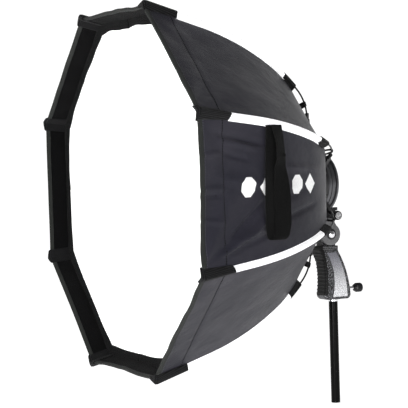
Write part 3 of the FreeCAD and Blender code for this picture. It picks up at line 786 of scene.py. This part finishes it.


# The diffuser glows of itself: painted light for a front lit through from inside, with no lamp in the
# softbox.
glowing_diffuser_nylon = Finish(
    "white_diffuser_nylon", Roughness=0.7, Sheen_Weight=0.2, Emission_Color=(1, 1, 1),
    Emission_Strength=0.45,
)
sheet_at = glowing_diffuser_nylon.cloth()
sheet_x, sheet_y, _ = glowing_diffuser_nylon.parts(sheet_at)
ripstop = (sheet_x * 900).wave() + (sheet_y * 900).wave()
glowing_diffuser_nylon.coat(
    glowing_diffuser_nylon.mix(glowing_diffuser_nylon.cloud(sheet_at, 15), (0.88,) * 3, (0.93,) * 3),
    height=ripstop * 0.3 + glowing_diffuser_nylon.cloud(sheet_at, 12), bump=0.12, deep=0.0006,
)
for number in ribs:
    panel = lay_cloth(
        f"diffuser_panel_{number}", 40, 40,
        partial(sector_share, number),
        glowing_diffuser_nylon.material, wall=0.0006, flipped=True,
    )
    edge_tape = lay_cloth(
        f"diffuser_tape_{number}", 60, 8, partial(tape_place, number),
        loop_tape.material, wall=0.0008, flipped=True,
    )
    sideways = softbox_point(rib_azimuth(number), 0, 0, 1) - softbox_point(0, 0, 0)
    for cloth in (panel, edge_tape):
        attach(cloth, f"sector_{number}")
        softbox_point(rib_azimuth(number), lip_deep, 0.2)
        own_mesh(cloth)
    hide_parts(f"diffuser_sector_{number}")

# ---------------- printed mark
# A plain white screen print on the near gore: a row of solid octagons and diamonds.


def wedge_place(middle, first, second, x, y):
    """Out from a mark's middle with x, and from one of its corners to the next with y."""
    aside, along = middle + x * first.lerp(second, y)
    wide = gore_line(along)[1] * gore_spread
    return gore_place(2, aside / wide, along, print_lift)


print_ink = Finish("white_print", Sheen_Weight=0.1)
ink_at = print_ink.cloth()
ink_cloud = print_ink.cloud(ink_at, 300)
print_ink.coat(
    print_ink.mix(ink_cloud.ramp(0.3, 0.7), (0.8,) * 3, (0.88,) * 3),
    ink_cloud * 0.2 + 0.5, ink_cloud, 0.3, 0.0003,
)
mark_aside, mark_reach, print_lift = -0.0065, 0.0165, 0.00035
for mark, (along, sides, first_turn) in enumerate((
    (0.100, 8, 0), (0.142, 4, math.pi / 4), (0.226, 8, 0), (0.266, 4, math.pi / 4),
)):
    middle = Vector((mark_aside, along))
    for side in range(sides):
        turns = [math.pi / sides * (2 * side + step) + first_turn for step in (-1, 1)]
        corners = [mark_reach * Vector((math.cos(turn), math.sin(turn))) for turn in turns]
        wedge = lay_cloth(
            f"print_mark_{mark + 1}_{side + 1}", 8, 8, partial(wedge_place, middle, *corners),
            print_ink.material,
        )
        follow_fold(wedge, 2)

# ---------------- tie strap
# 25 mm hook-and-loop webbing, sewn into the upper near seam as a hanging loop. It ties the
# canopy shut when the softbox is folded.

strap_wide = 0.025
strap_stations = [
    # down from the seam, along the gore, off the cloth, turn of the webbing about its length
    (-0.010, 0.150, 0.0030, 0.0), (0.008, 0.149, 0.0035, 0.0), (0.048, 0.146, 0.0040, 0.0),
    (0.098, 0.143, 0.0045, 0.0), (0.150, 0.142, 0.0050, 0.0), (0.165, 0.143, 0.0060, 0.1),
    (0.170, 0.147, 0.0075, 0.3), (0.164, 0.152, 0.0085, 0.6), (0.143, 0.155, 0.0085, 0.85),
    (0.105, 0.156, 0.0085, 0.75), (0.070, 0.159, 0.0105, 0.2), (0.040, 0.160, 0.0110, -0.2),
    (0.014, 0.160, 0.0080, -0.2), (-0.010, 0.159, 0.0050, 0.0),
]
strap_down = [0.0]
for first, second in zip(strap_stations, strap_stations[1:]):
    strap_down.append(strap_down[-1] + math.dist(first[:3], second[:3]))


def eased(values, at):
    """A smooth value between the strap's stations."""
    fine = np.linspace(0, strap_down[-1], 241)
    straight = np.interp(fine, strap_down, values)
    kernel = np.hanning(15)
    padded = np.concatenate([np.full(7, straight[0]), straight, np.full(7, straight[-1])])
    return float(np.interp(at, fine, np.convolve(padded, kernel / kernel.sum(), mode="valid")))


seam_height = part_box("tie_strap")[1].z
strap_over = 0.012


def strap_lay(along, down):
    """A place on the cloth beside the seam, with the ways along the cloth and off it."""
    deep, reach, slope = gore_line(along)
    flat_way = Vector((-math.sin(slope), math.cos(slope), 0))
    out_way = Vector((math.cos(slope), math.sin(slope), 0))
    return Vector((reach, rim_y + deep, seam_height - down)), flat_way, out_way


def strap_place(x, y):
    """Across the webbing with x, and down the loop and up again with y."""
    at = y * strap_down[-1]
    down, along, off, turn = (eased([s[k] for s in strap_stations], at) for k in range(4))
    spot, flat_way, out_way = strap_lay(along, down - strap_over)
    cross_way = flat_way * math.cos(turn) + out_way * math.sin(turn)
    side = (x - 0.5) * strap_wide
    spot += out_way * off + cross_way * side
    return spot + out_way * strap_wide / 2 * abs(math.sin(turn)), (side, at)


strap_finish = Finish("strap_webbing", Sheen_Weight=0.02, Sheen_Roughness=0.5, Specular_IOR_Level=0.03)
strap_at = strap_finish.cloth()
strap_x, strap_y, _ = strap_finish.parts(strap_at)
ribs_of_strap = (strap_x * 620).wave()
strap_finish.coat(
    strap_finish.mix(ribs_of_strap * strap_finish.cloud(strap_at, 500), (0.001,) * 3, (0.012,) * 3),
    strap_finish.cloud(strap_at, 90) * 0.2 + 0.6, ribs_of_strap + (strap_y * 800).wave() * 0.4, 0.6, 0.0007,
)


tag_along, tag_down, tag_wide, tag_tall = 0.168, 0.018, 0.011, 0.010


def tag_place(x, y):
    """The webbing's cut end, a small flap that stands out beside the loop."""
    tall = tag_tall * (1 - 0.6 * x)
    spot, flat_way, out_way = strap_lay(tag_along, tag_down + 0.007 * x + tall * y)
    spot += flat_way * (tag_wide * x - 0.009) + out_way * (0.0085 + 0.005 * x)
    return spot, (tag_wide * x, tall * y)


strap_wall = 0.0016
tie_strap = lay_cloth(
    "tie_strap_loop", 12, 200, strap_place, strap_finish.material, wall=strap_wall, offset=0
)
strap_tag = lay_cloth("tie_strap_tag", 8, 8, tag_place, strap_finish.material, wall=strap_wall, offset=0)
for webbing in (tie_strap, strap_tag):
    follow_fold(webbing, 2)
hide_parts("tie_strap")

# ---------------- hub and speedring
# A moulded drum carries eight pairs of ears for the rib arms, with an inner plate that nips the
# cloth. Behind it is the turned aluminium speedring, anodised dark, with a lip at each face.

hub_plastic = wear((0.008, 0.008, 0.009), (0.02, 0.02, 0.021), 0.4, 600, "hub_plastic")
pin_steel = wear((0.5, 0.5, 0.52), (0.62, 0.62, 0.64), 0.25, 900, "pin_steel", Metallic=1.0)
for node, material in (
    ("hub_housing", hub_plastic), ("hub_inner_plate", hub_plastic),
    ("hinge_pins", pin_steel), ("hub_screws", pin_steel),
):
    dress(node, material)

# Unit directions of the three axes that turned pieces are made about.
axes = {"X": Vector((1, 0, 0)), "Y": Vector((0, 1, 0)), "Z": Vector((0, 0, 1))}


def weld():
    """Joins doubled points, turns the faces outwards and goes back to object mode."""
    bpy.ops.mesh.select_all(action="SELECT")
    bpy.ops.mesh.remove_doubles(threshold=0.00001)
    bpy.ops.mesh.normals_make_consistent(inside=False)
    bpy.ops.object.mode_set(mode="OBJECT")


def turned(name, profile, centre, axis, material, steps=96):
    """A lathe piece: its profile gives places along the axis and radii, as a closed outline."""
    piece = started(name, bpy.ops.mesh.primitive_circle_add, vertices=len(profile), radius=1)
    outward = axes["Y"] if axis == "X" else axes["X"]
    for point, (along, radius) in zip(piece.data.vertices, profile):
        point.co = Vector(centre) + axes[axis] * along + outward * radius
    bpy.ops.object.mode_set(mode="EDIT")
    bpy.ops.mesh.select_all(action="SELECT")
    bpy.ops.mesh.spin(steps=steps, angle=2 * math.pi, center=centre, axis=axes[axis])
    weld()
    bpy.ops.object.shade_smooth_by_angle(angle=math.radians(35))
    piece.data.materials.append(material)
    return piece


def knurl(piece, centre, axis, radius, count, deep):
    """Cuts straight knurling into a turned piece where it has its full radius."""
    along = axes[axis]
    first = axes["Y"] if axis == "X" else axes["X"]
    second = along.cross(first)
    for point in piece.data.vertices:
        spoke = point.co - Vector(centre)
        spoke -= along * spoke.dot(along)
        if spoke.length > radius - 0.00005:
            turn = math.atan2(spoke.dot(second), spoke.dot(first))
            point.co -= spoke.normalized() * deep * (0.5 - 0.5 * math.cos(count * turn))


def ride_as(piece, body, slot_name, *replaced):
    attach(piece, body)
    if replaced:
        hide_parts(*replaced)


ring_front, ring_back = ring_box[0].y, ring_box[1].y
ring_radius = (ring_box[1].x - ring_box[0].x) / 2
ring_bore = 0.043
anodised = Finish("anodised_ring", Metallic=0.6, Specular_IOR_Level=0.4)
ring_at = anodised.place()
turning = anodised.cloud(anodised.stretched(ring_at, 40, 3000, 40), 1, 2)
anodised.coat(
    anodised.mix(turning, (0.05, 0.05, 0.055), (0.17, 0.17, 0.18)), turning * 0.15 + 0.24,
    turning, 0.15, 0.0003,
)
ring_long = ring_back - ring_front
ring_profile = [
    (0, ring_bore), (0, ring_radius - 0.001), (0.001, ring_radius), (0.0035, ring_radius),
    (0.0045, ring_radius - 0.001), (0.0046, 0.0464), (0.0085, 0.0460), (0.0088, 0.0470),
    (0.0108, 0.0470), (0.0111, 0.0460), (0.0150, 0.0460), (0.0153, 0.0472), (0.0172, 0.0472),
    (0.0175, 0.0458), (0.0222, 0.0462), (0.0225, ring_radius - 0.001), (0.0235, ring_radius),
    (ring_long - 0.001, ring_radius), (ring_long, ring_radius - 0.001),
    (ring_long, 0.0462), (ring_long - 0.0008, 0.0458), (ring_long - 0.0008, 0.0446),
    (ring_long, 0.0442), (ring_long, ring_bore),
]
ring = turned("speedring_body", ring_profile, (0, ring_front, axis_height), "Y", anodised.material, 160)
ride_as(ring, "softbox", "ring_metal", "speedring")

# ---------------- bracket and shoe
# A cast upright, painted black, joins the ring to the tilt head. The dark steel accessory shoe
# for the flash sits on it, with a knurled clamp screw on the near side.

cast_paint = wear((0.01, 0.01, 0.011), (0.03, 0.03, 0.031), 0.38, 500, "cast_paint", 0.3)
bright_steel = wear((0.55, 0.55, 0.56), (0.7, 0.7, 0.71), 0.22, 1200, "bright_steel", 0.08, Metallic=1.0)
dress("bracket_upright", cast_paint)
dark_steel = wear((0.03, 0.03, 0.032), (0.1, 0.1, 0.105), 0.3, 900, "dark_steel", 0.1, Metallic=0.9)
dress("accessory_shoe", dark_steel)

knob_black = wear(
    (0.006, 0.006, 0.007), (0.014, 0.014, 0.015), 0.32, 900, "knob_plastic", Specular_IOR_Level=0.3
)
shoe_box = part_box("shoe_clamp_knob")
knob_radius = (shoe_box[1].z - shoe_box[0].z) / 2
knob_y = (shoe_box[0].y + shoe_box[1].y) / 2
knob_z = (shoe_box[0].z + shoe_box[1].z) / 2
knob_end = shoe_box[1].x
knob_start = (knob_end - 0.011, knob_y, knob_z)
shoe_knob = turned(
    "shoe_knob_grip",
    [
        (0, 0), (0, 0.0062), (0.0006, 0.0068), (0.0014, knob_radius - 0.0004),
        (0.002, knob_radius), (0.0045, knob_radius), (0.0085, knob_radius),
        (0.0100, knob_radius - 0.0004), (0.0105, 0.0074), (0.0105, 0.0064), (0.0090, 0.0062),
        (0.0090, 0),
    ],
    knob_start, "X", knob_black, 144,
)
knurl(shoe_knob, knob_start, "X", knob_radius, 36, 0.0005)
shoe_screw = turned(
    "shoe_screw",
    [
        (shoe_box[0].x - knob_end, 0), (shoe_box[0].x - knob_end, 0.0025), (-0.0020, 0.0025),
        (-0.0019, 0.0060), (-0.0003, 0.0060), (0, 0.0056), (0, 0.0049), (-0.0011, 0.0046),
        (-0.0011, 0.0038), (-0.0004, 0.0033), (-0.0003, 0),
    ],
    (knob_end, knob_y, knob_z), "X", bright_steel, 64,
)
ride_as(shoe_knob, "shoe_clamp", "knob_plastic", "shoe_clamp_knob")
ride_as(shoe_screw, "shoe_clamp", "bright_metal")

# ---------------- tilt head
# Two teardrop cheeks of cast grey alloy clamp the bracket's stem, which turns between them on a
# bolt with a domed chrome head. A lever on the far side locks it.

cheek_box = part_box("tilt_cheeks")
cheek_radius = (cheek_box[1].y - cheek_box[0].y) / 2
tilt_y = cheek_box[0].y + cheek_radius
tilt_z = cheek_box[0].z + cheek_radius
cheek_top = cheek_box[1].z
cheek_wall = 0.0076


def cheek_outline():
    """A round cheek with a neck that narrows upwards."""
    neck_turn = math.radians(38)
    points = []
    for k in range(49):
        turn = math.pi / 2 + neck_turn + k * (2 * math.pi - 2 * neck_turn) / 48
        points.append((tilt_y + cheek_radius * math.cos(turn), tilt_z + cheek_radius * math.sin(turn)))
    points += [(tilt_y + 0.0092, tilt_z + 0.0195), (tilt_y + 0.0074, cheek_top - 0.001)]
    points += [(tilt_y + 0.0064, cheek_top), (tilt_y - 0.0044, cheek_top)]
    points += [(tilt_y - 0.0056, cheek_top - 0.001), (tilt_y - 0.0092, tilt_z + 0.0195)]
    return points


def slab(name, outline, start, end, material, round_over):
    """A plate across the softbox, cut to an outline and bevelled all round."""
    piece = started(
        name, bpy.ops.mesh.primitive_circle_add, vertices=len(outline), radius=1, fill_type="NGON"
    )
    for point, (y, z) in zip(piece.data.vertices, outline):
        point.co = Vector((start, y, z))
    bpy.ops.object.mode_set(mode="EDIT")
    bpy.ops.mesh.select_all(action="SELECT")
    bpy.ops.mesh.extrude_region_move(TRANSFORM_OT_translate={"value": (end - start, 0, 0)})
    weld()
    edge = piece.modifiers.new("rounded_edge", "BEVEL")
    edge.width = round_over
    edge.segments = 3
    edge.limit_method = "ANGLE"
    edge.angle_limit = math.radians(40)
    bpy.ops.object.modifier_apply(modifier=edge.name)
    bpy.ops.object.shade_smooth_by_angle(angle=math.radians(40))
    piece.data.materials.append(material)
    return piece


cast_alloy = Finish("cast_alloy", Metallic=0.35, Specular_IOR_Level=0.4)
alloy_at = cast_alloy.place()
pits = cast_alloy.cloud(alloy_at, 900, 4)
cast_alloy.coat(
    cast_alloy.mix(pits.ramp(0.35, 0.65), (0.10, 0.10, 0.102), (0.20, 0.20, 0.205)),
    pits * 0.2 + 0.45, pits, 0.6, 0.0005,
)
for side, start in (("near", cheek_box[1].x - cheek_wall), ("far", cheek_box[0].x)):
    cheek = slab(
        f"tilt_cheek_{side}", cheek_outline(), start, start + cheek_wall, cast_alloy.material, 0.0012
    )
    ride_as(cheek, "grip", "tilt_metal")
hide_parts("tilt_cheeks")

chrome = wear((0.75, 0.75, 0.77), (0.85, 0.85, 0.87), 0.1, 1500, "chrome", 0.03, Metallic=1.0)
bolt_face = cheek_box[1].x
bolt_middle = (bolt_face, tilt_y, tilt_z)
washer = turned(
    "bolt_washer",
    [
        (-0.0002, 0.004), (-0.0002, 0.0088), (0.0003, 0.0094),
        (0.0009, 0.0094), (0.0013, 0.0088), (0.0013, 0.004),
    ],
    bolt_middle, "X", knob_black,
)
bolt_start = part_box("tilt_bolt")[0].x - bolt_face
dome = [(0.0013 + 0.0032 * math.sin(t), 0.0066 * math.cos(t)) for t in np.linspace(0, math.pi / 2, 9)]
bolt = turned(
    "tilt_bolt_dome",
    [
        (bolt_start, 0), (bolt_start, 0.0036), (bolt_start + 0.0004, 0.004),
        (0.0011, 0.004), (0.0011, 0.0064), *dome,
    ],
    bolt_middle, "X", chrome,
)
ride_as(bolt, "grip", "bright_metal", "tilt_bolt")
ride_as(washer, "grip", "knob_plastic")
dress("tilt_lever", knob_black)

# ---------------- grip
# A moulded pistol grip: a black core with a speckled skin, a ribbed rubber front for the
# fingers and a silver textured plate let into each side, with painted shade towards its top.

grip_skin = Finish("grip_skin", Specular_IOR_Level=0.3)
skin_at = grip_skin.place()
speckle = grip_skin.cloud(skin_at, 700, 2)
grip_skin.coat(
    grip_skin.mix(speckle.ramp(0.55, 0.62), (0.004,) * 3, (0.26, 0.26, 0.28)),
    speckle * 0.3 + 0.25, speckle, 0.8, 0.0006,
)


def rubber_finish(name, roughness, gloss, grain, darkest, palest, bump):
    """Black rubber with a fine grain."""
    finish = Finish(name, Roughness=roughness, Specular_IOR_Level=gloss)
    fine = finish.cloud(finish.place(), grain, 3)
    finish.coat(finish.mix(fine, (darkest,) * 3, (palest,) * 3), height=fine, bump=bump, deep=0.0003)
    return finish.material


rubber = rubber_finish("grip_rubber", 0.5, 0.12, 1200, 0.003, 0.009, 0.4)
# The ridges get a slightly paler copy of the grip's rubber: painted highlight where they catch the light.
rubber_ridge_highlit = rubber_finish("grip_rubber_ridge", 0.4, 0.15, 900, 0.004, 0.010, 0.3)
plate_silver = Finish("side_plate_silver", Metallic=0.3, Specular_IOR_Level=0.5)
plate_corners = [corner[2] for corner in nodes["grip_side_plates"].bound_box]
plate_at = plate_silver.place()
_, _, plate_rise = plate_silver.parts(plate_at)
# The plate's silver runs from pale at its foot to dark at its top: painted shade.
plate_shade_share = plate_rise.ramp(min(plate_corners), max(plate_corners))
hammered = plate_silver.cloud(plate_at, 800, 3)
silver_shaded_upwards = plate_silver.mix(plate_shade_share, (0.85, 0.85, 0.87), (0.2, 0.2, 0.23))
plate_silver.coat(
    plate_silver.mix(hammered.ramp(0.36, 0.56), (0.06, 0.06, 0.07), silver_shaded_upwards),
    hammered * 0.3 + 0.3, hammered, 0.9, 0.0006,
)
dress("grip_core", grip_skin.material)
dress("grip_front_rubber", rubber)
dress("grip_side_plates", plate_silver.material)


def bar(name, points, radius, material, sides=8):
    """A round bar through points that are all at one height, closed at both ends."""
    stops = len(points)

    def skin(x, y):
        k = y * (stops + 1)
        here = min(max(round(k) - 1, 0), stops - 1)
        ahead = points[min(here + 1, stops - 1)] - points[max(here - 1, 0)]
        side = ahead.cross(axes["Z"]).normalized()
        up = side.cross(ahead.normalized())
        turn = 2 * math.pi * x
        wide = 0.0 if round(k) in (0, stops + 1) else radius
        return points[here] + (side * math.cos(turn) + up * math.sin(turn)) * wide, (x, y)

    piece = lay_cloth(name, sides, stops + 1, skin, material)
    bpy.ops.object.mode_set(mode="EDIT")
    weld()
    return piece


grip_half = 0.0155
grip_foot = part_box("grip_core")[0].z
rubber_node = nodes["grip_front_rubber"]
to_rubber = rubber_node.matrix_world.inverted()


def rubber_skin(x, height):
    """Where the rubber's front is, in front of a point across and up the grip."""
    hit, spot, _, _ = rubber_node.ray_cast(
        to_rubber @ Vector((x, rim_y, height)), to_rubber.to_3x3() @ axes["Y"]
    )
    return rubber_node.matrix_world @ spot if hit else None


ridge_radius = 0.0012
ridge_count, ridge_first, ridge_pitch, ridge_half = 13, 0.0115, 0.0064, 0.0148
ridge_back = rim_y + 0.405
for k in range(ridge_count):
    height = grip_foot + ridge_first + k * ridge_pitch
    rail = [rubber_skin(x, height) for x in np.linspace(-ridge_half, ridge_half, 25)]
    rail = [spot for spot in rail if spot is not None and spot.y < ridge_back]
    ridge = bar(f"grip_rib_{k + 1}", rail, ridge_radius, rubber_ridge_highlit)
    ride_as(ridge, "grip", "grip_rubber")
top_z = grip_foot + 0.0955
line_radius, line_front, line_back = 0.0005, rim_y + 0.3855, rim_y + 0.4145
for k, drop in enumerate((0.0026, 0.0056)):
    for side in (-1, 1):
        line = bar(
            f"grip_line_{k + 1}_{'near' if side > 0 else 'far'}",
            [Vector((side * grip_half, y, top_z - drop)) for y in np.linspace(line_front, line_back, 6)],
            line_radius, cast_alloy.material,
        )
        ride_as(line, "grip", "bright_metal")

# ---------------- stand lock and tube
# The grip's bush takes the stand's top tube, black lacquered steel. A chromed screw with a
# knurled knob locks it, and a bright collar marks where the tube enters.

dress("stand_bush", knob_black)
dress("stand_lock_screw", chrome)
dress("tube_collar", chrome)
lacquer = Finish("black_lacquer", Specular_IOR_Level=0.07)
lacquer_at = lacquer.place()
scuffs = lacquer.cloud(lacquer.stretched(lacquer_at, 60, 60, 8), 1, 4)
lacquer.coat(
    lacquer.mix(scuffs.ramp(0.55, 0.8), (0.001,) * 3, (0.004,) * 3),
    scuffs * 0.15 + 0.14, scuffs, 0.05, 0.0002,
)
dress("stand_tube", lacquer.material)

lock_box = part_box("stand_lock_knob")
lock_radius = (lock_box[1].x - lock_box[0].x) / 2
lock_start = (0, lock_box[0].y, (lock_box[0].z + lock_box[1].z) / 2)
lock_long = lock_box[1].y - lock_box[0].y
lock_knob = turned(
    "lock_knob_grip",
    [
        (0, 0), (0, 0.0036), (0.0018, 0.004), (0.0024, 0.0058), (0.0036, 0.0066),
        (0.0048, 0.0066), (0.0052, 0.0072), (0.0064, lock_radius), (0.0068, lock_radius),
        (lock_long - 0.0055, lock_radius), (lock_long - 0.005, lock_radius),
        (lock_long - 0.0038, lock_radius - 0.0008), (lock_long - 0.0034, 0.0062),
        (lock_long - 0.004, 0.0054), (lock_long - 0.004, 0),
    ],
    lock_start, "Y", knob_black, 160,
)
knurl(lock_knob, lock_start, "Y", lock_radius, 40, 0.0005)
ride_as(lock_knob, "stand_lock", "knob_plastic", "stand_lock_knob")
